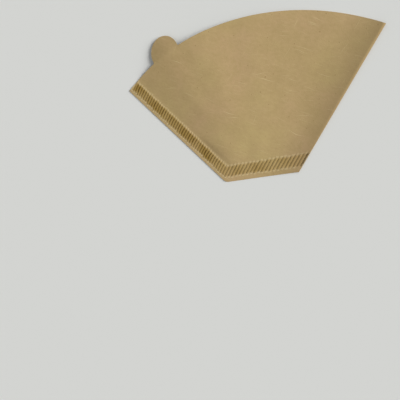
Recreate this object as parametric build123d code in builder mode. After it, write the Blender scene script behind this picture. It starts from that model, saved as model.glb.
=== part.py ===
# Cone coffee filter: one sheet of paper folded once along its right side edge,
# crimped through both leaves along the left side and the bottom, open along the
# curved mouth, with a round finger tab on the upper leaf only.
# Millimetres. The filter lies on its lower leaf: X runs from the crimped side to
# the fold, Y from the bottom seam to the mouth, Z up. The origin is the middle of
# the underside of the bounding box.
import os
from math import cos, radians, sin, tan
from build123d import *

# Folded outline
bottom_width = 50.0
side_length = 95.0
side_slant = 37.8                 # degrees between a side edge and the centre line
mouth_rise = 24.8                 # top of the mouth arc above its own chord
seam_corner_radius = 4.0          # where the bottom seam turns into the side seam

# Finger tab, a disc that grows out of the mouth edge
tab_radius = 10.5
tab_place_share = 0.595           # of half the mouth chord, toward the crimped side
tab_lift = 1.3                    # disc centre beyond the mouth edge
tab_blend = 1.0                   # radius where the tab runs into the mouth edge

# Paper and pocket
paper_thickness = 0.2
mouth_gap = 3.2                   # between the leaves, at the middle of the mouth
seam_gap_share = 0.02             # of the mouth gap, left where the pocket starts
fold_wall = 0.26                  # doubled paper between the fold and the pocket
fold_round_share = 0.45           # of the doubled paper, radius round the fold

# Crimped seam: one set of parallel corrugations under an L shaped band
side_margin = 2.4                 # plain paper outside the band, side seam
side_band = 6.4
bottom_margin = 3.8               # plain paper outside the band, bottom seam
bottom_band = 6.9
band_end_margin = 1.0             # plain paper between the band and mouth or fold
crimp_angle = 48.0                # degrees between a corrugation and the bottom edge
crimp_pitch = 1.94                # square to the corrugations
crimp_height = 0.3
crimp_foot_share = 0.66           # of the pitch, width of a ridge at its foot
crimp_crest_share = 0.36          # of the pitch, width of a ridge at its crest
crimp_wall = 0.24                 # paper left round the ends of each groove

# Derived sizes
slant = radians(side_slant)
half_bottom = bottom_width / 2
half_mouth = half_bottom + side_length * sin(slant)
side_height = side_length * cos(slant)
mouth_height = side_height + mouth_rise
mouth_radius = (half_mouth**2 + mouth_rise**2) / (2 * mouth_rise)
mouth_centre_y = mouth_height - mouth_radius
tab_x = -tab_place_share * half_mouth
tab_y = mouth_centre_y + (mouth_radius**2 - tab_x**2) ** 0.5 + tab_lift
doubled = 2 * paper_thickness
pocket_start = bottom_margin + bottom_band + crimp_wall
pocket_inset = side_margin + side_band + crimp_wall
pocket_end = tab_y + tab_radius + band_end_margin
gap_growth = (1 - seam_gap_share) / (mouth_height - pocket_start)


def side_x(y, inset):
    """Half width of the filter at height y, less an inset square to the side."""
    return half_bottom + y * tan(slant) - inset / cos(slant)


# Lower leaf, doubled paper at the seams, and the rounded fold, without the tab
with BuildPart() as leaves:
    with BuildSketch() as fan:
        with BuildLine():
            bottom_edge = Line((-half_bottom, 0), (half_bottom, 0))
            fold_edge = Line(bottom_edge @ 1, (half_mouth, side_height))
            ThreePointArc(fold_edge @ 1, (0, mouth_height), (-half_mouth, side_height))
            Line((-half_mouth, side_height), bottom_edge @ 0)
        make_face()
        fillet(fan.vertices().sort_by_distance((-half_bottom, 0))[0], seam_corner_radius)
    extrude(amount=doubled)
    fold_face = leaves.faces().sort_by_distance(fold_edge @ 0.5 + Vector(0, 0, paper_thickness))[0]
    long_edges = fold_face.edges().sort_by(SortBy.LENGTH)[-2:]
    fillet(long_edges, fold_round_share * doubled)

# Air between the leaves: flat below, arched above, growing from the bottom seam to
# the mouth and running on past it
with BuildPart() as air:
    for y in (pocket_start, pocket_end):
        left = -side_x(y, pocket_inset)
        right = side_x(y, fold_wall)
        rise = mouth_gap * (seam_gap_share + gap_growth * (y - pocket_start))
        with BuildSketch(Plane((0, y, 0), x_dir=(1, 0, 0), z_dir=(0, -1, 0))):
            with BuildLine():
                Line((left, 0), (right, 0))
                ThreePointArc((right, 0), ((left + right) / 2, rise), (left, 0))
            make_face()
    loft(ruled=True)

# Upper leaf raised over the pocket, cut to the fan with its tab
with BuildPart() as crown:
    with BuildSketch() as tabbed_fan:
        add(fan.sketch)
        with Locations((tab_x, tab_y)):
            Circle(tab_radius)
        fillet(tabbed_fan.vertices().sort_by_distance((tab_x, tab_y))[:2], tab_blend)
    extrude(amount=doubled + 2 * mouth_gap)
    add(air.part.moved(Location((0, 0, doubled))), mode=Mode.INTERSECT)

# Band that the crimping covers, seen from above
with BuildSketch() as band:
    with BuildLine():
        Polyline(
            (-side_x(bottom_margin, side_margin), bottom_margin),
            (side_x(bottom_margin, band_end_margin), bottom_margin),
            (side_x(bottom_margin + bottom_band, band_end_margin), bottom_margin + bottom_band),
            (-side_x(bottom_margin + bottom_band, side_margin + side_band), bottom_margin + bottom_band),
            (-side_x(mouth_height, side_margin + side_band), mouth_height),
            (-side_x(mouth_height, side_margin), mouth_height),
            close=True,
        )
    make_face()
    with Locations((0, mouth_centre_y)):
        Circle(mouth_radius - band_end_margin, mode=Mode.INTERSECT)

# Corrugations: long bars side by side from the bottom of the fold to the mouth end
# of the side seam, cut to the band
run_x = cos(radians(crimp_angle))
run_y = sin(radians(crimp_angle))
first = -run_y * half_bottom
last = run_y * half_mouth + run_x * side_height
crimp_count = round((last - first) / crimp_pitch)
middle = (first + last) / 2
reach = half_mouth + mouth_height


def corrugations(outline, low):
    """Trapezoid bars on a level, cut to an outline seen from above."""
    foot = crimp_foot_share * crimp_pitch / 2
    crest = crimp_crest_share * crimp_pitch / 2
    start = (-run_y * middle, run_x * middle, low)
    with BuildPart() as bars:
        with BuildSketch(Plane(start, x_dir=(-run_y, run_x, 0), z_dir=(run_x, run_y, 0))):
            with GridLocations(crimp_pitch, crimp_pitch, crimp_count, 1):
                Polygon((-foot, 0), (foot, 0), (crest, crimp_height), (-crest, crimp_height), align=None)
        extrude(amount=reach, both=True)
        with BuildSketch(Plane.XY.offset(low)):
            add(outline)
        extrude(amount=crimp_height, mode=Mode.INTERSECT)
    return bars.part


# The folded and crimped sheet
with BuildPart() as filter_paper:
    add(leaves.part)
    add(crown.part)
    add(air.part.moved(Location((0, 0, paper_thickness))), mode=Mode.SUBTRACT)
    add(corrugations(band.sketch, doubled))
    add(corrugations(offset(band.sketch, -crimp_wall), 0), mode=Mode.SUBTRACT)

box = filter_paper.part.bounding_box()
filter_paper.part = filter_paper.part.moved(Location((-box.center().X, -box.center().Y, -box.min.Z)))
filter_paper.part.label = "filter_paper"

os.makedirs("parts", exist_ok=True)
export_step(filter_paper.part, "parts/filter_paper.step")
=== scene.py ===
from math import acos, atan2, cos, pi, radians, sin, tan

import bpy
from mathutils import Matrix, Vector, geometry


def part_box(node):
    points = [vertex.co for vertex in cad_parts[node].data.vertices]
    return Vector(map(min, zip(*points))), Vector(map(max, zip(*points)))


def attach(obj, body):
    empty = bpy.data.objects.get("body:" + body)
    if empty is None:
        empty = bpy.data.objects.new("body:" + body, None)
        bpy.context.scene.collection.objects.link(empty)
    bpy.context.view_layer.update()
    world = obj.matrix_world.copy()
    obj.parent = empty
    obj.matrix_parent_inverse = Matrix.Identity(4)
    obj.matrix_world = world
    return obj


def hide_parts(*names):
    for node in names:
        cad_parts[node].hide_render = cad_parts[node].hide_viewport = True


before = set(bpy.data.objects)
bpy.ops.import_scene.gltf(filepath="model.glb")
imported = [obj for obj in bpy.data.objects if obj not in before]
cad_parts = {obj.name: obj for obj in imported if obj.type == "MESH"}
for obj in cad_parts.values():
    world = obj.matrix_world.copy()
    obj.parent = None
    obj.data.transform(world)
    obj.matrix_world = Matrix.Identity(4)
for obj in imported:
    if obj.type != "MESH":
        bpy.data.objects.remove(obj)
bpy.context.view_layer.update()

bl_info = {
    "name": "Paper coffee filter",
    "version": (1, 0, 0),
    "blender": (4, 5, 0),
    "location": "View3D > Sidebar > Coffee filter",
    "description": "A cone coffee filter folded and crimped from one sheet of unbleached paper",
    "category": "Object",
}

NODE = "filter_paper"
BODY = "root"
MM = 0.001
BOTTOM_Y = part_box(NODE)[0].y
FLOOR_HALF = 1500 * MM
SEED = 7

# How finely the sheet is divided
EDGE_STEP = 0.5 * MM
WIDE_STEP = 1.2 * MM
SAMPLES_PER_CRIMP = 10
FOLD_STEPS = 8
SHOULDER_STEPS = 6


class OutlineSizes(bpy.types.PropertyGroup):
    """The filter seen from above, folded."""

    bottom_width: bpy.props.FloatProperty(
        name="Bottom width", description="Straight bottom edge", default=50 * MM, unit="LENGTH")
    side_length: bpy.props.FloatProperty(
        name="Side length", description="From the bottom edge to the mouth",
        default=95 * MM, unit="LENGTH")
    side_slant: bpy.props.FloatProperty(
        name="Side slant", description="Side edges against the centre line",
        default=radians(37.8), subtype="ANGLE")
    mouth_rise: bpy.props.FloatProperty(
        name="Mouth rise", description="Top of the mouth arc above its chord",
        default=24.8 * MM, unit="LENGTH")
    corner_radius: bpy.props.FloatProperty(
        name="Corner radius", description="Where the bottom seam meets the side seam",
        default=4 * MM, unit="LENGTH")
    tab_radius: bpy.props.FloatProperty(
        name="Tab radius", description="Round finger tab", default=10.5 * MM, unit="LENGTH")
    tab_place_share: bpy.props.FloatProperty(
        name="Tab place", description="Share of half the mouth chord, toward the seam", default=0.595)
    tab_lift: bpy.props.FloatProperty(
        name="Tab lift", description="Middle of the tab beyond the mouth edge",
        default=1.3 * MM, unit="LENGTH")
    tab_blend: bpy.props.FloatProperty(
        name="Tab blend", description="Radius where the tab meets the mouth edge",
        default=1.0 * MM, unit="LENGTH")


class PaperSizes(bpy.types.PropertyGroup):
    """The sheet, its fold and its pocket."""

    thickness: bpy.props.FloatProperty(
        name="Paper thickness", description="One leaf", default=0.2 * MM, unit="LENGTH")
    fold_radius: bpy.props.FloatProperty(
        name="Fold radius", description="Middle of the paper round the fold",
        default=0.4 * MM, unit="LENGTH")
    fold_spring: bpy.props.FloatProperty(
        name="Fold spring", description="How far from the fold the leaves stand apart",
        default=22 * MM, unit="LENGTH")
    fold_opening: bpy.props.FloatProperty(
        name="Fold opening", description="How much higher the fold stands at the mouth",
        default=1.2 * MM, unit="LENGTH")
    fold_shoulder: bpy.props.FloatProperty(
        name="Fold shoulder", description="Width over which the upper leaf rounds down to the fold",
        default=1.5 * MM, unit="LENGTH")
    tab_droop: bpy.props.FloatProperty(
        name="Tab droop", description="Slope at which the tab bends down", default=0.15)
    mouth_gap: bpy.props.FloatProperty(
        name="Mouth gap", description="Between the leaves where the mouth is widest",
        default=3.3 * MM, unit="LENGTH")
    waviness: bpy.props.FloatProperty(
        name="Waviness", description="Unevenness of the pocket, as a share of its height",
        default=0.35)
    swelling: bpy.props.FloatProperty(
        name="Swelling", description="Height of the swelling where the two seams meet",
        default=0.5 * MM, unit="LENGTH")


class SeamSizes(bpy.types.PropertyGroup):
    """The crimped band along the side and the bottom."""

    side_margin: bpy.props.FloatProperty(
        name="Side margin", description="Plain paper outside the side seam",
        default=2.4 * MM, unit="LENGTH")
    side_band: bpy.props.FloatProperty(
        name="Side band", description="Width of the side seam", default=6.4 * MM, unit="LENGTH")
    bottom_margin: bpy.props.FloatProperty(
        name="Bottom margin", description="Plain paper outside the bottom seam",
        default=3.8 * MM, unit="LENGTH")
    bottom_band: bpy.props.FloatProperty(
        name="Bottom band", description="Width of the bottom seam",
        default=6.9 * MM, unit="LENGTH")
    end_margin: bpy.props.FloatProperty(
        name="End margin", description="Plain paper between the band and the mouth or the fold",
        default=1.0 * MM, unit="LENGTH")
    pitch: bpy.props.FloatProperty(
        name="Crimp pitch", description="From crimp to crimp", default=1.94 * MM, unit="LENGTH")
    angle: bpy.props.FloatProperty(
        name="Crimp angle", description="Crimps against the bottom edge",
        default=radians(48), subtype="ANGLE")
    bottom_angle: bpy.props.FloatProperty(
        name="Bottom crimp angle", description="In the bottom band, where the crimps stand steeper",
        default=radians(52.5), subtype="ANGLE")
    height: bpy.props.FloatProperty(
        name="Crimp height", description="Groove to crest", default=0.25 * MM, unit="LENGTH")
    crest_share: bpy.props.FloatProperty(
        name="Crest share", description="Width of a crest, as a share of the pitch", default=0.46)
    foot_share: bpy.props.FloatProperty(
        name="Foot share", description="Width of a ridge at its foot, as a share of the pitch",
        default=0.80)
    bead_height: bpy.props.FloatProperty(
        name="Bead height", description="Paper pushed up at the ends of a crest",
        default=0.13 * MM, unit="LENGTH")
    raggedness: bpy.props.FloatProperty(
        name="Raggedness", description="How unevenly the crimps end",
        default=0.7 * MM, unit="LENGTH")
    wander: bpy.props.FloatProperty(
        name="Wander", description="How far the crimps stray from their pitch",
        default=0.5 * MM, unit="LENGTH")


class PaperLook(bpy.types.PropertyGroup):
    """Colours of the paper, as sRGB hex."""

    paper: bpy.props.StringProperty(name="Paper", description="Plain unbleached paper", default="AF9A69")
    blush: bpy.props.StringProperty(name="Blush", description="Paper with redder pulp", default="B49771")
    cloud: bpy.props.StringProperty(name="Clouds", description="Thicker patches of pulp", default="A48D61")
    # Also the colour of the painted highlight on the crimps' beads
    fibre: bpy.props.StringProperty(name="Fibres", description="Long pale fibres", default="C9B68A")
    fleck: bpy.props.StringProperty(name="Flecks", description="Bark and dark fibres", default="7C623C")
    pressed: bpy.props.StringProperty(name="Pressed paper", description="Crimped paper", default="8B7137")
    # Grooves: partly darker pressed paper, partly painted shade
    groove: bpy.props.StringProperty(name="Groove", description="Bottom of a crimp", default="5E4412")
    # Painted shade toward the fold and in the crease
    painted_fold_shade: bpy.props.StringProperty(name="Painted fold shade", description="Beside the fold", default="846F4C")


class StageLook(bpy.types.PropertyGroup):
    """Floor, lamps and camera."""

    floor: bpy.props.StringProperty(name="Floor", description="Floor colour, sRGB hex", default="D2D3D0")
    key: bpy.props.FloatProperty(name="Softbox", description="Strength of the main lamp", default=5.5)
    key_tilt: bpy.props.FloatProperty(
        name="Softbox tilt", description="Main lamp away from overhead",
        default=radians(69), subtype="ANGLE")
    key_bearing: bpy.props.FloatProperty(
        name="Softbox bearing", description="Where the main lamp stands, clockwise from the mouth",
        default=radians(90), subtype="ANGLE")
    key_softness: bpy.props.FloatProperty(
        name="Softbox size", description="Main lamp as seen from the filter",
        default=radians(30), subtype="ANGLE")
    fill: bpy.props.FloatProperty(name="Window", description="Strength of the side light", default=0.4)
    fill_tilt: bpy.props.FloatProperty(
        name="Window tilt", description="Side light away from overhead",
        default=radians(50), subtype="ANGLE")
    fill_bearing: bpy.props.FloatProperty(
        name="Window bearing", description="Where the side light stands, clockwise from the mouth",
        default=radians(-60), subtype="ANGLE")
    fill_softness: bpy.props.FloatProperty(
        name="Window size", description="Side light as seen from the filter",
        default=radians(60), subtype="ANGLE")
    sky: bpy.props.FloatProperty(name="Sky", description="Strength of the even light", default=0.3)
    camera_place: bpy.props.FloatVectorProperty(
        name="Camera place", description="From the middle of the bottom edge",
        default=(58.05 * MM, 40.69 * MM, 252.9 * MM), subtype="XYZ", unit="LENGTH")
    camera_turn: bpy.props.FloatVectorProperty(
        name="Camera turn", description="Rotation of the camera",
        default=(radians(-14.95), radians(19.97), radians(-12.12)), subtype="EULER")
    lens: bpy.props.FloatProperty(name="Lens", description="Focal length in mm", default=34.83)


class FilterSettings(bpy.types.PropertyGroup):
    """Everything a user would change."""

    outline: bpy.props.PointerProperty(type=OutlineSizes)
    paper: bpy.props.PointerProperty(type=PaperSizes)
    seam: bpy.props.PointerProperty(type=SeamSizes)
    look: bpy.props.PointerProperty(type=PaperLook)
    stage: bpy.props.PointerProperty(type=StageLook)


def linear(text):
    """An sRGB hex colour as linear RGBA."""
    shares = [int(text[i:i + 2], 16) / 255 for i in (0, 2, 4)]
    return [s / 12.92 if s <= 0.04045 else ((s + 0.055) / 1.055) ** 2.4 for s in shares] + [1.0]


def add(tree, kind, links=(), **settings):
    """Adds a node, sets its properties and its inputs, and returns its first output.

    links is a list in the order of the inputs, with None to leave one alone, or a dict by name.
    """
    made = tree.nodes.new(kind)
    for name, value in settings.items():
        setattr(made, name, value)
    pairs = links.items() if isinstance(links, dict) else enumerate(links)
    for key, value in pairs:
        if isinstance(value, bpy.types.NodeSocket):
            tree.links.new(value, made.inputs[key])
        elif value is not None:
            made.inputs[key].default_value = value
    return next((out for out in made.outputs if out.enabled), made)


class Plan:
    """The folded outline: where its edges lie, in the frame of the whole object."""

    def __init__(self, settings):
        size, paper = settings.outline, settings.paper
        self.size, self.seam, self.paper = size, settings.seam, paper
        half = size.bottom_width / 2
        slant = size.side_slant
        self.seam_foot = Vector((-half, BOTTOM_Y))
        self.fold_foot = Vector((half, BOTTOM_Y))
        self.seam_along = Vector((-sin(slant), cos(slant)))
        self.seam_inward = Vector((cos(slant), sin(slant)))
        self.fold_along = Vector((sin(slant), cos(slant)))
        self.fold_outward = Vector((cos(slant), -sin(slant)))
        self.seam_top = self.seam_foot + self.seam_along * size.side_length
        chord = -self.seam_top.x
        self.mouth_radius = (chord**2 + size.mouth_rise**2) / (2 * size.mouth_rise)
        self.mouth_top = self.seam_top.y + size.mouth_rise
        self.mouth_centre = Vector((0, self.mouth_top - self.mouth_radius))
        tab_x = -size.tab_place_share * chord
        tab_y = self.mouth_centre.y + (self.mouth_radius**2 - tab_x**2) ** 0.5 + size.tab_lift
        self.tab_centre = Vector((tab_x, tab_y))
        # The paper turns over in a half circle between these two places past the fold edge,
        # measured along the flat sheet
        self.turn_start = -(paper.thickness / 2 + paper.fold_radius)
        self.turn_end = self.turn_start + pi * paper.fold_radius
        # The crimps are counted across from the bottom corner at the fold to the seam's top
        seam = self.seam
        self.crimp_along = Vector((cos(seam.angle), sin(seam.angle)))
        self.crimp_across = Vector((-self.crimp_along.y, self.crimp_along.x))
        first = self.fold_foot.dot(self.crimp_across)
        last = self.seam_top.dot(self.crimp_across)
        count = round((last - first) / seam.pitch)
        self.crimp_start = (first + last) / 2 - (count - 1) / 2 * seam.pitch
        # Ends of the line where the upper leaf starts to turn over
        self.turn_foot = self.fold_foot + self.fold_outward * self.turn_start
        self.turn_foot += self.fold_along * ((BOTTOM_Y - self.turn_foot.y) / self.fold_along.y)
        to_centre = self.mouth_centre - self.turn_foot
        aside = to_centre.dot(self.fold_outward)
        reach = to_centre.dot(self.fold_along) + (self.mouth_radius**2 - aside**2) ** 0.5
        self.turn_top = self.turn_foot + self.fold_along * reach

    def past_fold(self, p):
        """Distance past the fold edge, negative on the leaf."""
        return (p - self.fold_foot).dot(self.fold_outward)

    def inside(self, p, with_tab):
        """How far a point lies inside the flat part of a leaf, negative outside it."""
        fan = min(
            (p - self.seam_foot).dot(self.seam_inward),
            p.y - BOTTOM_Y,
            self.turn_start - self.past_fold(p),
            self.mouth_radius - (p - self.mouth_centre).length,
        )
        if with_tab:
            return max(fan, self.size.tab_radius - (p - self.tab_centre).length)
        return fan

    def off_band(self, p):
        """How far a point lies outside the crimped band, negative in it."""
        seam = self.seam
        side = (p - self.seam_foot).dot(self.seam_inward) - seam.side_margin
        up = p.y - BOTTOM_Y - seam.bottom_margin
        return max(-min(side, up), min(side - seam.side_band, up - seam.bottom_band))

    def unfold(self, p):
        """Where a point of the lower leaf lies on the flat sheet, mirrored past the fold."""
        middle = (self.turn_start + self.turn_end) / 2
        return p + self.fold_outward * (2 * (middle - self.past_fold(p)))


def run(start, end, step):
    """Points from start to end, without the end."""
    count = max(1, round((end - start).length / step))
    return [start.lerp(end, i / count) for i in range(count)]


def arc(centre, start, end, step, clockwise=True):
    """Points round an arc from start to end, without the end."""
    radius = (start - centre).length
    first = atan2(start.y - centre.y, start.x - centre.x)
    turn = atan2(end.y - centre.y, end.x - centre.x) - first
    turn = turn % (2 * pi) - (2 * pi if clockwise else 0)
    count = max(3, round(abs(turn) * radius / step))
    angles = [first + turn * i / count for i in range(count)]
    return [centre + Vector((cos(a), sin(a))) * radius for a in angles]


def meeting(centre_a, radius_a, centre_b, radius_b, side):
    """One of the two points where two circles meet; side is 1 or -1."""
    apart = centre_b - centre_a
    turn = acos((radius_a**2 + apart.length_squared - radius_b**2) / (2 * radius_a * apart.length))
    angle = atan2(apart.y, apart.x) + side * turn
    return centre_a + Vector((cos(angle), sin(angle))) * radius_a


def leaf_edge(plan, with_tab):
    """Edge of a leaf, from the fold's foot by the seams and the mouth to the fold's top."""
    size = plan.size
    cut = size.corner_radius * tan((pi / 2 - size.side_slant) / 2)
    on_bottom = plan.seam_foot + Vector((cut, 0))
    on_seam = plan.seam_foot + plan.seam_along * cut
    points = run(plan.turn_foot, on_bottom, EDGE_STEP)
    points += arc(on_bottom + Vector((0, size.corner_radius)), on_bottom, on_seam, EDGE_STEP)
    points += run(on_seam, plan.seam_top, EDGE_STEP)
    mouth_start = plan.seam_top
    if with_tab:
        blend = size.tab_blend
        radii = plan.mouth_radius + blend, size.tab_radius + blend
        for side in (1, -1):
            centre = meeting(plan.mouth_centre, radii[0], plan.tab_centre, radii[1], side)
            on_mouth = plan.mouth_centre.lerp(centre, plan.mouth_radius / radii[0])
            on_tab = plan.tab_centre.lerp(centre, size.tab_radius / radii[1])
            if side == 1:
                points += arc(plan.mouth_centre, mouth_start, on_mouth, WIDE_STEP)
                points += arc(centre, on_mouth, on_tab, EDGE_STEP / 2, clockwise=False)
                tab_start = on_tab
            else:
                points += arc(plan.tab_centre, tab_start, on_tab, EDGE_STEP)
                points += arc(centre, on_tab, on_mouth, EDGE_STEP / 2, clockwise=False)
                mouth_start = on_mouth
    points += arc(plan.mouth_centre, mouth_start, plan.turn_top, WIDE_STEP)
    return points + [plan.turn_top]


def leaf_points(plan, with_tab):
    """Points inside a leaf: rows along the crimps in the band, wider spaced away from it.

    The shoulder by the fold, past the bottom band, is left free for rows along the fold.
    """
    # Spacing along the crimps and across them, the distances from the band at which it starts
    # and stops, and how far its points keep from the edge
    lattices = (
        (0.7 * MM, plan.seam.pitch / SAMPLES_PER_CRIMP, -1.0, 0.8 * MM, 0.25 * MM),
        (0.8 * MM, 0.8 * MM, 0.8 * MM, 3.0 * MM, 0.5 * MM),
        (1.9 * MM, 1.9 * MM, 3.0 * MM, 1.0, 1.0 * MM),
    )
    middle = plan.crimp_along * plan.mouth_top + plan.crimp_across * plan.crimp_start
    reach = 2 * (plan.mouth_top - BOTTOM_Y)
    # A little wider than what is rounded
    shoulder = 1.3 * plan.paper.fold_shoulder
    points = []
    for along, across, nearest, farthest, clear in lattices:
        for j in range(round(-reach / across), round(reach / across)):
            row = middle + plan.crimp_across * (across * j)
            for i in range(round(-reach / along), round(reach / along)):
                p = row + plan.crimp_along * (along * (i + j % 2 / 2))
                off_band = plan.off_band(p)
                if not nearest <= off_band < farthest or plan.inside(p, with_tab) <= clear:
                    continue
                on_shoulder = plan.turn_start - plan.past_fold(p) < shoulder
                if off_band <= 0 or not on_shoulder:
                    points.append(p)
    # Rows along the fold, closer together toward it
    bottom_band_start = BOTTOM_Y + plan.seam.bottom_margin
    for p in run(plan.turn_foot, plan.turn_top, WIDE_STEP)[1:]:
        for i in range(1, SHOULDER_STEPS):
            place = p - plan.fold_outward * (shoulder * (i / SHOULDER_STEPS) ** 2)
            if plan.off_band(place) > 0.3 * MM and place.y > bottom_band_start:
                points.append(place)
    return points


def flat_sheet(plan):
    """The sheet before it is folded, as a flat mesh: upper leaf, fold strip and lower leaf."""
    upper = leaf_edge(plan, True)
    lower = [plan.unfold(p) for p in reversed(leaf_edge(plan, False))]
    strip = plan.fold_outward * (plan.turn_end - plan.turn_start)
    columns = [strip * (i / FOLD_STEPS) for i in range(FOLD_STEPS + 1)]
    edge = upper + [plan.turn_top + c for c in columns[1:-1]]
    edge += lower + [plan.turn_foot + c for c in reversed(columns[1:-1])]
    points = leaf_points(plan, True) + [plan.unfold(p) for p in leaf_points(plan, False)]
    stations = run(plan.turn_foot, plan.turn_top, WIDE_STEP)[1:]
    points += [p + c for p in stations for c in columns]
    inside_only = 1
    same_place = 0.002 * MM
    corners, _, faces, _, _, _ = geometry.delaunay_2d_cdt(
        edge + points, [], [list(range(len(edge)))], inside_only, same_place)
    mesh = bpy.data.meshes.new("flat_sheet")
    mesh.from_pydata([(c.x, c.y, 0) for c in corners], [], faces)
    mesh.validate()
    return mesh


MATH = "ShaderNodeMath"
VECTOR = "ShaderNodeVectorMath"
RANGE = "ShaderNodeMapRange"
NOISE = "ShaderNodeTexNoise"
MAPPING = "ShaderNodeMapping"
MIX = "ShaderNodeMix"
STORE = "GeometryNodeStoreNamedAttribute"

# Nearly all of a noise's values lie between these two
NOISE_LOW, NOISE_HIGH = 0.3, 0.7


def folding_inputs(plan, settings):
    """Named inputs of the tree that folds the sheet, without its material."""
    paper, seam = settings.paper, settings.seam
    # The pocket's profile rises by one power from the seam and falls by the other to the fold
    seam_power = 1.5
    fold_power = 3.6
    peak_place = seam_power / (seam_power + fold_power)
    peak = peak_place**seam_power * (1 - peak_place) ** fold_power
    # Away from the fold the leaves close all but a twentieth of the gap that it holds open
    closing = 0.95 * (2 * paper.fold_radius - paper.thickness)
    return {
        "Fold foot": plan.fold_foot.to_3d(),
        "Fold outward": plan.fold_outward.to_3d(),
        "Seam foot": plan.seam_foot.to_3d(),
        "Seam inward": plan.seam_inward.to_3d(),
        "Mouth centre": plan.mouth_centre.to_3d(),
        "Mouth radius": plan.mouth_radius,
        "Turn start": plan.turn_start,
        "Turn end": plan.turn_end,
        "Paper thickness": paper.thickness,
        "Fold radius": paper.fold_radius,
        "Fold spring": paper.fold_spring,
        "Fold opening": paper.fold_opening,
        "Fold shoulder": paper.fold_shoulder,
        "Spring power": 1.8,
        "Closing": closing,
        "Tab droop": paper.tab_droop,
        "Pocket height": plan.mouth_top - BOTTOM_Y - seam.bottom_margin - seam.bottom_band,
        "Mouth gap": paper.mouth_gap / peak,
        "Growth power": 0.6,
        "Seam power": seam_power,
        "Fold power": fold_power,
        "Waves on ribs": Vector((5.0, 0.8, 1.0)),
        "Waviness": 2 * paper.waviness,
        "Swelling place": Vector((0.1, 12 * MM, 0)),
        "Swelling size": Vector((0.25, 18 * MM, 1)),
        "Swelling height": paper.swelling,
        "Swelling edge": 5 * MM,
        "Side margin": seam.side_margin,
        "Side band": seam.side_band,
        "Bottom margin": seam.bottom_margin,
        "Bottom band": seam.bottom_band,
        "End margin": seam.end_margin,
        "Crimp across": plan.crimp_across.to_3d(),
        "Crimp start": plan.crimp_start,
        "Crimp pitch": seam.pitch,
        "Crimp height": seam.height,
        "Crest share": seam.crest_share / 2,
        "Foot share": seam.foot_share / 2,
        "Bottom lean": sin(seam.angle) / tan(seam.bottom_angle) - cos(seam.angle),
        "Wander": seam.wander,
        "Wander density": 1 / (3 * MM),
        "Raggedness": seam.raggedness,
        "Band softness": 0.5 * MM,
        "Lowest ridge": 0.8,
        "Bead place": 0.3 * MM,
        "Bead size": 0.45 * MM,
        "Bead height": seam.bead_height,
        "Tone softness": 1.2 * MM,
        "Groove shortening": 1.3 * MM,
        "Groove start": -0.3 * MM,
        "Groove full": 0.7 * MM,
        "Palest groove": 0.6,
        "Darkest groove": 1.25,
        "Grip density": 1 / (14 * MM),
        "Weakest grip": 0.5,
        "Strongest grip": 1.15,
        "Bottom press share": 0.7,
        "Bottom groove share": 0.2,
        "Seed": SEED,
    }


def fold_over(tree, given):
    """The sheet turned over its fold.

    Gives the flat place, the folded place, how far that lies past the fold edge, its height, and
    its share of the way from the lower leaf to the upper one.
    """
    flat = add(tree, "GeometryNodeInputPosition")
    above = add(tree, "ShaderNodeSeparateXYZ", [flat]).node.outputs["Z"]
    # The distance past the fold edge becomes an angle from 0 to half a turn
    from_fold = add(tree, VECTOR, [flat, given["Fold foot"]], operation="SUBTRACT")
    past = add(tree, VECTOR, [from_fold, given["Fold outward"]], operation="DOT_PRODUCT")
    turn = add(tree, RANGE, [past, given["Turn start"], given["Turn end"], 0, pi])
    cosine = add(tree, MATH, [turn], operation="COSINE")
    sine = add(tree, MATH, [turn], operation="SINE")
    arm = add(tree, MATH, [given["Fold radius"], above], operation="ADD")
    before_turn = add(tree, MATH, [past, given["Turn start"]], operation="MINIMUM")
    after_turn = add(tree, MATH, [past, given["Turn end"]], operation="SUBTRACT")
    after_turn = add(tree, MATH, [after_turn, 0], operation="MAXIMUM")
    folded_past = add(tree, MATH, [arm, sine, before_turn], operation="MULTIPLY_ADD")
    folded_past = add(tree, MATH, [folded_past, after_turn], operation="SUBTRACT")
    shift = add(tree, MATH, [folded_past, past], operation="SUBTRACT")
    shift = add(tree, VECTOR, {0: given["Fold outward"], "Scale": shift}, operation="SCALE")
    folded = add(tree, VECTOR, [flat, shift], operation="ADD")
    half_paper = add(tree, MATH, [given["Paper thickness"], 0.5], operation="MULTIPLY")
    axis_height = add(tree, MATH, [half_paper, given["Fold radius"]], operation="ADD")
    height = add(tree, MATH, [arm, cosine, axis_height], operation="MULTIPLY_ADD")
    on_upper = add(tree, MATH, [cosine, 0.5, 0.5], operation="MULTIPLY_ADD")
    return flat, folded, folded_past, height, on_upper


def distances(tree, given, folded, folded_past):
    """Distances on a folded leaf from its seams, fold and mouth, by name."""
    from_seam = add(tree, VECTOR, [folded, given["Seam foot"]], operation="SUBTRACT")
    side = add(tree, VECTOR, [from_seam, given["Seam inward"]], operation="DOT_PRODUCT")
    up = add(tree, "ShaderNodeSeparateXYZ", [from_seam]).node.outputs["Y"]
    in_side = add(tree, MATH, [side, given["Side margin"]], operation="SUBTRACT")
    in_bottom = add(tree, MATH, [up, given["Bottom margin"]], operation="SUBTRACT")
    past_side = add(tree, MATH, [in_side, given["Side band"]], operation="SUBTRACT")
    past_bottom = add(tree, MATH, [in_bottom, given["Bottom band"]], operation="SUBTRACT")
    to_fold = add(tree, MATH, [folded_past, -1], operation="MULTIPLY")
    to_mouth = add(tree, VECTOR, [folded, given["Mouth centre"]], operation="DISTANCE")
    to_mouth = add(tree, MATH, [given["Mouth radius"], to_mouth], operation="SUBTRACT")
    return {
        "in side": in_side,
        "in bottom": in_bottom,
        "past side": past_side,
        "past bottom": past_bottom,
        "to fold": to_fold,
        "to mouth": to_mouth,
    }


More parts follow.
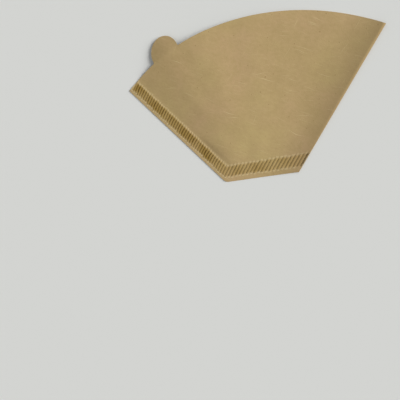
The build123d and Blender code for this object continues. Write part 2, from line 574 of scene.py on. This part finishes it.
def crimps(tree, given, folded, far):
    """The crimped band.

    Gives the height of the crimps, how firmly they hold the leaves together, and, by name, the masks for
    the finish: pressed paper, grooves that are partly darker pressed paper and partly painted shade, and
    beads where a highlight is painted.
    """
    # Each crimp wanders a little, and ends a little before or after its neighbours
    wander = add(tree, NOISE, {"Vector": folded, "Scale": given["Wander density"], "Detail": 1.0})
    wander = add(tree, MATH, [wander, 0.5], operation="SUBTRACT")
    p = add(tree, VECTOR, [folded, given["Crimp across"]], operation="DOT_PRODUCT")
    p = add(tree, MATH, [wander, given["Wander"], p], operation="MULTIPLY_ADD")
    lean = add(tree, MATH, [far["past bottom"], 0], operation="MINIMUM")
    p = add(tree, MATH, [lean, given["Bottom lean"], p], operation="MULTIPLY_ADD")
    p = add(tree, MATH, [p, given["Crimp start"]], operation="SUBTRACT")
    number = add(tree, MATH, [p, given["Crimp pitch"]], operation="DIVIDE")
    ridge_number = add(tree, MATH, [number], operation="ROUND")
    groove_number = add(tree, MATH, [number], operation="FLOOR")
    ridge_seed = add(tree, MATH, [ridge_number, given["Seed"]], operation="ADD")
    groove_seed = add(tree, MATH, [groove_number, given["Seed"]], operation="ADD")
    ridge_chance = add(tree, "ShaderNodeTexWhiteNoise", {"W": ridge_seed}, noise_dimensions="1D")
    groove_chance = add(tree, "ShaderNodeTexWhiteNoise", {"W": groove_seed}, noise_dimensions="1D")
    depth_chance = add(tree, "ShaderNodeSeparateXYZ", [groove_chance.node.outputs["Color"]])

    # The band, an L beside seam and bottom, short of the mouth and the fold
    outer = add(tree, MATH, [far["in side"], far["in bottom"]], operation="MINIMUM")
    inner = add(tree, MATH, [far["past side"], far["past bottom"]], operation="MINIMUM")
    inner = add(tree, MATH, [inner, -1], operation="MULTIPLY")
    to_end = add(tree, MATH, [far["to mouth"], far["to fold"]], operation="MINIMUM")
    to_end = add(tree, MATH, [to_end, given["End margin"]], operation="SUBTRACT")
    inset = add(tree, MATH, [outer, inner], operation="MINIMUM")
    inset = add(tree, MATH, [inset, to_end], operation="MINIMUM")
    inset_ridge = add(tree, MATH, [ridge_chance, given["Raggedness"], inset],
                      operation="MULTIPLY_ADD")
    pressed = add(tree, RANGE, [inset_ridge, 0, given["Band softness"]],
                  interpolation_type="SMOOTHSTEP")

    # Flat crests, and a bead of paper pushed up at each end of a crest, which the finish also paints pale
    # as a painted highlight
    from_ridge = add(tree, MATH, [ridge_number, number], operation="SUBTRACT")
    from_ridge = add(tree, MATH, [from_ridge], operation="ABSOLUTE")
    ridge = add(tree, RANGE, [from_ridge, given["Crest share"], given["Foot share"], 1, 0],
                interpolation_type="SMOOTHSTEP")
    strength = add(tree, RANGE, [ridge_chance, 0, 1, given["Lowest ridge"], 1])
    height = add(tree, MATH, [ridge, pressed], operation="MULTIPLY")
    height = add(tree, MATH, [height, strength], operation="MULTIPLY")
    height = add(tree, MATH, [height, given["Crimp height"]], operation="MULTIPLY")
    from_bead = add(tree, MATH, [inset_ridge, given["Bead place"]], operation="ADD")
    from_bead = add(tree, MATH, [from_bead], operation="ABSOLUTE")
    bead_and_highlight = add(tree, RANGE, [from_bead, 0, given["Bead size"], 1, 0],
               interpolation_type="SMOOTHSTEP")
    bead_and_highlight = add(tree, MATH, [bead_and_highlight, ridge], operation="MULTIPLY")
    height = add(tree, MATH, [bead_and_highlight, given["Bead height"], height], operation="MULTIPLY_ADD")

    # The rollers gripped harder in some places than in others, and harder on the side seam
    grip = add(tree, NOISE, {"Vector": folded, "Scale": given["Grip density"], "Detail": 1.0})
    grip = add(tree, RANGE, [grip, NOISE_LOW, NOISE_HIGH, given["Weakest grip"],
                             given["Strongest grip"]])
    band = given["Bottom band"]
    press_share = add(tree, RANGE, [far["past bottom"], 0, band, given["Bottom press share"], 1])
    groove_share = add(tree, RANGE, [far["past bottom"], 0, band, given["Bottom groove share"], 1])
    press = add(tree, RANGE, [inset_ridge, 0, given["Tone softness"]],
                interpolation_type="SMOOTHSTEP")
    press = add(tree, MATH, [press, grip], operation="MULTIPLY")
    press = add(tree, MATH, [press, press_share], operation="MULTIPLY")

    # Dark grooves, partly darker pressed paper and partly painted shade, each as long and as dark as its
    # own chance makes it
    shortening = add(tree, MATH, [groove_chance, given["Groove shortening"]], operation="MULTIPLY")
    inset_groove = add(tree, MATH, [inset, shortening], operation="SUBTRACT")
    cut_in = add(tree, RANGE, [inset_groove, given["Groove start"], given["Groove full"]],
                 interpolation_type="SMOOTHSTEP")
    depth = add(tree, RANGE, [depth_chance, 0, 1, given["Palest groove"], given["Darkest groove"]])
    groove = add(tree, MATH, [1, ridge], operation="SUBTRACT")
    for share in (cut_in, depth, grip, groove_share):
        groove = add(tree, MATH, [groove, share], operation="MULTIPLY")
    return height, pressed, {"pressed": press, "groove": groove, "bead_and_highlight": bead_and_highlight}


def pocket(tree, given, far, pressed):
    """How far the upper leaf lies above where the fold alone would put it."""
    # Paper bends along straight lines only, which spread like the ribs of a fan from the bottom
    # to the mouth, so the height is a profile across the ribs that grows along them
    across = add(tree, MATH, [far["past side"], 0], operation="MAXIMUM")
    back = add(tree, MATH, [far["to fold"], 0], operation="MAXIMUM")
    whole = add(tree, MATH, [across, back], operation="ADD")
    rib = add(tree, MATH, [across, whole], operation="DIVIDE")
    growth = add(tree, RANGE, [far["past bottom"], 0, given["Pocket height"]])
    growth = add(tree, MATH, [growth, given["Growth power"]], operation="POWER")
    by_seam = add(tree, MATH, [rib, given["Seam power"]], operation="POWER")
    by_fold = add(tree, MATH, [1, rib], operation="SUBTRACT")
    by_fold = add(tree, MATH, [by_fold, given["Fold power"]], operation="POWER")
    profile = add(tree, MATH, [by_seam, by_fold], operation="MULTIPLY")
    profile = add(tree, MATH, [profile, growth], operation="MULTIPLY")
    on_ribs = add(tree, "ShaderNodeCombineXYZ", [rib, growth, given["Seed"]])
    on_ribs = add(tree, VECTOR, [on_ribs, given["Waves on ribs"]], operation="MULTIPLY")
    waves = add(tree, NOISE, {"Vector": on_ribs, "Scale": 1.0, "Detail": 1.0, "Roughness": 0.4})
    waves = add(tree, MATH, [waves, 0.5], operation="SUBTRACT")
    waves = add(tree, MATH, [waves, given["Waviness"], 1], operation="MULTIPLY_ADD")
    lift = add(tree, MATH, [profile, given["Mouth gap"]], operation="MULTIPLY")
    lift = add(tree, MATH, [lift, waves], operation="MULTIPLY")

    # A swelling in the corner where the two seams hold the leaf
    in_corner = add(tree, "ShaderNodeCombineXYZ", [rib, far["past bottom"]])
    in_corner = add(tree, VECTOR, [in_corner, given["Swelling place"]], operation="SUBTRACT")
    in_corner = add(tree, VECTOR, [in_corner, given["Swelling size"]], operation="DIVIDE")
    in_corner = add(tree, VECTOR, [in_corner], operation="LENGTH")
    swelling = add(tree, RANGE, [in_corner, 0, 1, given["Swelling height"], 0],
                   interpolation_type="SMOOTHSTEP")
    off_seam = add(tree, RANGE, [across, 0, given["Swelling edge"]],
                   interpolation_type="SMOOTHSTEP")
    lift = add(tree, MATH, [swelling, off_seam, lift], operation="MULTIPLY_ADD")

    # The tab bends down from the mouth edge
    past_mouth = add(tree, MATH, [far["to mouth"], 0], operation="MINIMUM")
    lift = add(tree, MATH, [past_mouth, given["Tab droop"], lift], operation="MULTIPLY_ADD")

    # The leaves stand apart by the fold, more so toward the mouth, and the upper one rounds
    # down to it. Away from the fold, and in the band, they close
    spring = add(tree, RANGE, [back, 0, given["Fold spring"], 1, 0])
    spring = add(tree, MATH, [spring, given["Spring power"]], operation="POWER")
    free = add(tree, MATH, [1, pressed], operation="SUBTRACT")
    spring = add(tree, MATH, [spring, free], operation="MULTIPLY")
    shoulder = add(tree, RANGE, [back, 0, given["Fold shoulder"], 1, 0])
    shoulder = add(tree, MATH, [shoulder, shoulder], operation="MULTIPLY")
    shoulder = add(tree, MATH, [1, shoulder], operation="SUBTRACT")
    shoulder = add(tree, MATH, [shoulder], operation="SQRT")
    opening = add(tree, MATH, [growth, given["Fold opening"]], operation="MULTIPLY")
    opening = add(tree, MATH, [opening, shoulder, given["Closing"]], operation="MULTIPLY_ADD")
    lift = add(tree, MATH, [spring, opening, lift], operation="MULTIPLY_ADD")
    return add(tree, MATH, [lift, given["Closing"]], operation="SUBTRACT")


def fold_and_crimp(inputs):
    """Tree that folds the flat sheet over, opens its pocket and crimps its seam."""
    tree = bpy.data.node_groups.new("fold_and_crimp", "GeometryNodeTree")
    tree.interface.new_socket("Sheet", in_out="INPUT", socket_type="NodeSocketGeometry")
    tree.interface.new_socket("Sheet", in_out="OUTPUT", socket_type="NodeSocketGeometry")
    kinds = {Vector: "NodeSocketVector", float: "NodeSocketFloat", int: "NodeSocketInt"}
    for name, value in inputs.items():
        kind = kinds.get(type(value), "NodeSocketMaterial")
        tree.interface.new_socket(name, in_out="INPUT", socket_type=kind)
    given = tree.nodes.new("NodeGroupInput").outputs

    flat, folded, folded_past, height, on_upper = fold_over(tree, given)
    far = distances(tree, given, folded, folded_past)
    crimp, pressed, marks = crimps(tree, given, folded, far)
    lift = pocket(tree, given, far, pressed)
    lift = add(tree, MATH, [lift, on_upper], operation="MULTIPLY")
    height = add(tree, MATH, [height, lift], operation="ADD")
    height = add(tree, MATH, [height, crimp], operation="ADD")
    plane = add(tree, VECTOR, [folded, (1, 1, 0)], operation="MULTIPLY")
    height = add(tree, "ShaderNodeCombineXYZ", {"Z": height})
    place = add(tree, VECTOR, [plane, height], operation="ADD")

    # What the finish follows is kept on the mesh
    sheet = add(tree, STORE, {"Geometry": given["Sheet"], "Name": "flat_place", "Value": flat},
                data_type="FLOAT2", domain="CORNER")
    marks["from_crease"] = add(tree, MATH, [folded_past], operation="ABSOLUTE")
    for name, mark in marks.items():
        sheet = add(tree, STORE, {"Geometry": sheet, "Name": name, "Value": mark},
                    data_type="FLOAT", domain="POINT")
    sheet = add(tree, "GeometryNodeSetPosition", {"Geometry": sheet, "Position": place})
    sheet = add(tree, "GeometryNodeRealizeInstances", [sheet])
    sheet = add(tree, "GeometryNodeSetMaterial", {"Geometry": sheet, "Material": given["Material"]})
    add(tree, "NodeGroupOutput", [sheet])
    return tree


def filter_paper(look):
    """Unbleached filter paper: wood pulp laid wet on a wire, creped and dried without bleach.

    It is matt and cloudy, with long pale fibres, a few dark flecks of bark and a fine tooth.
    It is darker where it was crimped, partly as pressed paper and partly as painted shade in the grooves,
    with a painted highlight on the beads at the ends of the crimps, and darker toward the fold and in the
    crease as painted shade.
    """
    material = bpy.data.materials.new("unbleached_filter_paper")
    material.use_nodes = True
    tree = material.node_tree
    tree.nodes.clear()
    # The place on the flat sheet, in millimetres
    place = add(tree, "ShaderNodeUVMap", uv_map="flat_place")
    place = add(tree, VECTOR, {0: place, "Scale": 1 / MM}, operation="SCALE")
    # The way the wire ran, and where in the endless web of paper this sheet was cut
    wire_run = (0, 0, radians(-31))
    shade_cut = (120, 500, 0)
    cloud_cut = (110, -10, 0)

    # Pulp of two shades, which drift into each other over 35 mm
    drift = add(tree, MAPPING, {"Vector": place, "Location": shade_cut})
    drift = add(tree, NOISE, {"Vector": drift, "Scale": 1 / 35, "Detail": 4, "Roughness": 0.6},
                noise_dimensions="2D")
    drift = add(tree, RANGE, [drift, NOISE_LOW, NOISE_HIGH, 0, 1])
    shade = add(tree, MIX, {"Factor": drift, "A": linear(look.paper),
                            "B": linear(look.blush)}, data_type="RGBA")

    # Pulp that settled thicker and thinner: drifts of 60 mm, clouds of 9 mm, mottling of 1.5 mm,
    # the finer two drawn out along the wire
    patches = 0
    for size, length, detail, share in ((60, 1, 1, 0.3), (9, 1.3, 3, 0.4), (1.5, 1.7, 3, 0.36)):
        drawn = add(tree, MAPPING, {"Vector": place, "Location": cloud_cut, "Rotation": wire_run,
                                    "Scale": (size * length, size, 1)}, vector_type="TEXTURE")
        layer = add(tree, NOISE, {"Vector": drawn, "Scale": 1, "Detail": detail},
                    noise_dimensions="2D")
        layer = add(tree, RANGE, [layer, NOISE_LOW, NOISE_HIGH, 0, share])
        patches = add(tree, MATH, [patches, layer], operation="ADD")
    colour = add(tree, MIX, {"Factor": patches, "A": shade,
                             "B": linear(look.cloud)}, data_type="RGBA")

    # Long pale fibres, 14 mm by about 0.2 mm and drawn 0.4 mm wide so that they show. They bend
    # a little, and most lie along the wire
    bend = add(tree, NOISE, {"Vector": place, "Scale": 1 / 12, "Detail": 1},
               noise_dimensions="2D").node.outputs["Color"]
    bent = add(tree, VECTOR, [bend, (2.5, 2.5, 0), place], operation="MULTIPLY_ADD")
    fibres = 0
    for turn, rarity in ((-31, 0.77), (-12, 0.81), (50, 0.84)):
        lie = add(tree, MAPPING, {"Vector": bent, "Rotation": (0, 0, radians(turn)),
                                  "Scale": (15, 0.5, 1)}, vector_type="TEXTURE")
        streak = add(tree, NOISE, {"Vector": lie, "Scale": 1, "Detail": 0}, noise_dimensions="2D")
        streak = add(tree, RANGE, [streak, rarity, rarity + 0.2, 0, 1])
        fibres = add(tree, MATH, [fibres, streak], operation="MAXIMUM")
    fibres = add(tree, MATH, [fibres, 1.5], operation="POWER")
    fibre_share = add(tree, MATH, [fibres, 0.6], operation="MULTIPLY")
    colour = add(tree, MIX, {"Factor": fibre_share, "A": colour,
                             "B": linear(look.fibre)}, data_type="RGBA")

    # Flecks of bark, up to 0.7 mm, in about a third of all squares of 5 mm
    chip = add(tree, "ShaderNodeTexVoronoi", {"Vector": bent, "Scale": 1 / 5},
               voronoi_dimensions="2D")
    chip_size = add(tree, "ShaderNodeSeparateColor", [chip.node.outputs["Color"]])
    chip_size = add(tree, RANGE, [chip_size, 0.65, 1, 0, 0.07])
    fleck = add(tree, MATH, [chip, chip_size], operation="LESS_THAN")
    fleck = add(tree, MATH, [fleck, 0.55], operation="MULTIPLY")
    colour = add(tree, MIX, {"Factor": fleck, "A": colour,
                             "B": linear(look.fleck)}, data_type="RGBA")

    # The marks of the crimps, which the folding left on the mesh: pressed paper, grooves that are partly
    # darker pressed paper and partly painted shade, and beads painted pale as a highlight
    for name, share, tone in (
        ("pressed", 0.95, look.pressed),
        ("groove", 1.0, look.groove),
        # The beads are painted pale in the fibres' colour, as a painted highlight
        ("bead_and_highlight", 0.8, look.fibre),
    ):
        mark = add(tree, "ShaderNodeAttribute", attribute_name=name).node.outputs["Fac"]
        mark = add(tree, MATH, [mark, share], operation="MULTIPLY")
        colour = add(tree, MIX, {"Factor": mark, "A": colour, "B": linear(tone)}, data_type="RGBA")

    # Painted shade: darker toward the fold over 18 mm, and darkest in the crease itself, 1.5 mm wide
    crease = add(tree, "ShaderNodeAttribute", attribute_name="from_crease").node.outputs["Fac"]
    painted_fold_shade = add(tree, RANGE, [crease, 0, 18 * MM, 1, 0])
    painted_fold_shade = add(tree, MATH, [painted_fold_shade, 1.5], operation="POWER")
    painted_fold_shade = add(tree, MATH, [painted_fold_shade, 0.45], operation="MULTIPLY")
    crease = add(tree, RANGE, [crease, 0.1 * MM, 1.5 * MM, 1.0, 0])
    painted_fold_shade = add(tree, MATH, [painted_fold_shade, crease], operation="MAXIMUM")
    colour = add(tree, MIX, {"Factor": painted_fold_shade, "A": colour,
                             "B": linear(look.painted_fold_shade)}, data_type="RGBA")

    # The tooth of the paper, about 0.5 mm from bump to bump, with the fibres lying on it
    tooth = add(tree, NOISE, {"Vector": place, "Scale": 1 / 0.5, "Detail": 2},
                noise_dimensions="2D")
    tooth = add(tree, MATH, [fibres, 0.6, tooth], operation="MULTIPLY_ADD")
    bump = add(tree, "ShaderNodeBump", {"Strength": 1.0, "Distance": 0.06 * MM, "Height": tooth})
    # Uncoated paper, as rough as plaster, whose loose fibres give back little of the gloss
    shader = add(tree, "ShaderNodeBsdfPrincipled",
                 {"Base Color": colour, "Roughness": 0.95, "IOR": 1.5, "Specular IOR Level": 0.3,
                  "Normal": bump})
    add(tree, "ShaderNodeOutputMaterial", [shader])
    return material


def floor_material(colour):
    """Matt painted board."""
    material = bpy.data.materials.new("matt_floor_board")
    material.use_nodes = True
    material.node_tree.nodes.clear()
    shader = add(material.node_tree, "ShaderNodeBsdfDiffuse", {"Color": linear(colour)})
    add(material.node_tree, "ShaderNodeOutputMaterial", [shader])
    return material


class MakeFoldedSheet(bpy.types.Operator):
    """Cut, fold and crimp the one sheet of paper that the filter is made of"""

    bl_idname = "coffee_filter.folded_sheet"
    bl_label = "Folded sheet"

    def execute(self, context):
        settings = context.scene.coffee_filter
        plan = Plan(settings)
        mesh = flat_sheet(plan)
        piece = bpy.data.objects.new("folded_sheet", mesh)
        context.scene.collection.objects.link(piece)
        wall = piece.modifiers.new("paper_thickness", "SOLIDIFY")
        wall.thickness = settings.paper.thickness
        wall.offset = 0
        inputs = folding_inputs(plan, settings)
        inputs["Material"] = filter_paper(settings.look)
        tree = fold_and_crimp(inputs)
        folding = piece.modifiers.new("fold_and_crimp", "NODES")
        folding.node_group = tree
        sockets = {s.name: s.identifier for s in tree.interface.items_tree if s.in_out == "INPUT"}
        for name, value in inputs.items():
            folding[sockets[name]] = list(value) if isinstance(value, Vector) else value
        context.view_layer.update()
        shape = piece.evaluated_get(context.evaluated_depsgraph_get())
        piece.data = bpy.data.meshes.new_from_object(shape)
        piece.modifiers.clear()
        piece.data.shade_smooth()
        piece.data.set_sharp_from_angle(angle=radians(65))
        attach(piece, BODY)
        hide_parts(NODE)
        return {"FINISHED"}


class MakeStage(bpy.types.Operator):
    """Lay the floor, hang the lamps and set the camera"""

    bl_idname = "coffee_filter.stage"
    bl_label = "Stage"

    def execute(self, context):
        settings = context.scene.coffee_filter.stage
        scene = context.scene
        mesh = bpy.data.meshes.new("floor")
        corners = [(x * FLOOR_HALF, y * FLOOR_HALF, 0) for x, y in ((-1, -1), (1, -1), (1, 1), (-1, 1))]
        mesh.from_pydata(corners, [], [(0, 1, 2, 3)])
        mesh.materials.append(floor_material(settings.floor))
        board = bpy.data.objects.new("floor", mesh)
        scene.collection.objects.link(board)

        for name, strength, size, tilt, bearing in (
            ("softbox", settings.key, settings.key_softness, settings.key_tilt, settings.key_bearing),
            ("window", settings.fill, settings.fill_softness, settings.fill_tilt, settings.fill_bearing),
        ):
            lamp = bpy.data.lights.new(name, "SUN")
            lamp.energy = strength
            lamp.angle = size
            stand = bpy.data.objects.new(name, lamp)
            # Tilted from overhead toward a compass bearing, counted clockwise from the mouth
            stand.rotation_euler = (-tilt, 0, -bearing)
            scene.collection.objects.link(stand)

        # Even white light, behind which the camera sees the colour of the floor
        scene.world = bpy.data.worlds.new("even_light")
        scene.world.use_nodes = True
        sky = scene.world.node_tree
        sky.nodes.clear()
        seen = add(sky, "ShaderNodeLightPath").node.outputs["Is Camera Ray"]
        light = add(sky, "ShaderNodeBackground", {"Color": (1, 1, 1, 1), "Strength": settings.sky})
        backdrop = add(sky, "ShaderNodeBackground", {"Color": linear(settings.floor)})
        light = add(sky, "ShaderNodeMixShader", [seen, light, backdrop])
        add(sky, "ShaderNodeOutputWorld", [light])

        camera = bpy.data.objects.new("camera", bpy.data.cameras.new("camera"))
        camera.data.lens = settings.lens
        camera.data.clip_start = 0.01
        camera.location = Vector((0, BOTTOM_Y, 0)) + Vector(settings.camera_place)
        camera.rotation_euler = settings.camera_turn
        scene.collection.objects.link(camera)
        scene.camera = camera
        scene.view_settings.view_transform = "Standard"
        return {"FINISHED"}


OPERATORS = (MakeFoldedSheet, MakeStage)


class FilterPanel(bpy.types.Panel):
    """Sizes and looks of the filter, and the buttons that make it"""

    bl_idname = "VIEW3D_PT_coffee_filter"
    bl_label = "Coffee filter"
    bl_space_type = "VIEW_3D"
    bl_region_type = "UI"
    bl_category = "Coffee filter"

    def draw(self, context):
        settings = context.scene.coffee_filter
        for group in (settings.outline, settings.paper, settings.seam, settings.look, settings.stage):
            box = self.layout.box()
            for name in group.__annotations__:
                box.prop(group, name)
        for operator in OPERATORS:
            self.layout.operator(operator.bl_idname)


CLASSES = (OutlineSizes, PaperSizes, SeamSizes, PaperLook, StageLook, FilterSettings,
           *OPERATORS, FilterPanel)


def register():
    for cls in CLASSES:
        bpy.utils.register_class(cls)
    bpy.types.Scene.coffee_filter = bpy.props.PointerProperty(type=FilterSettings)


def unregister():
    del bpy.types.Scene.coffee_filter
    for cls in reversed(CLASSES):
        bpy.utils.unregister_class(cls)


def main():
    register()
    bpy.ops.coffee_filter.folded_sheet()
    bpy.ops.coffee_filter.stage()
    bpy.context.view_layer.update()


if __name__ == "__main__":
    main()
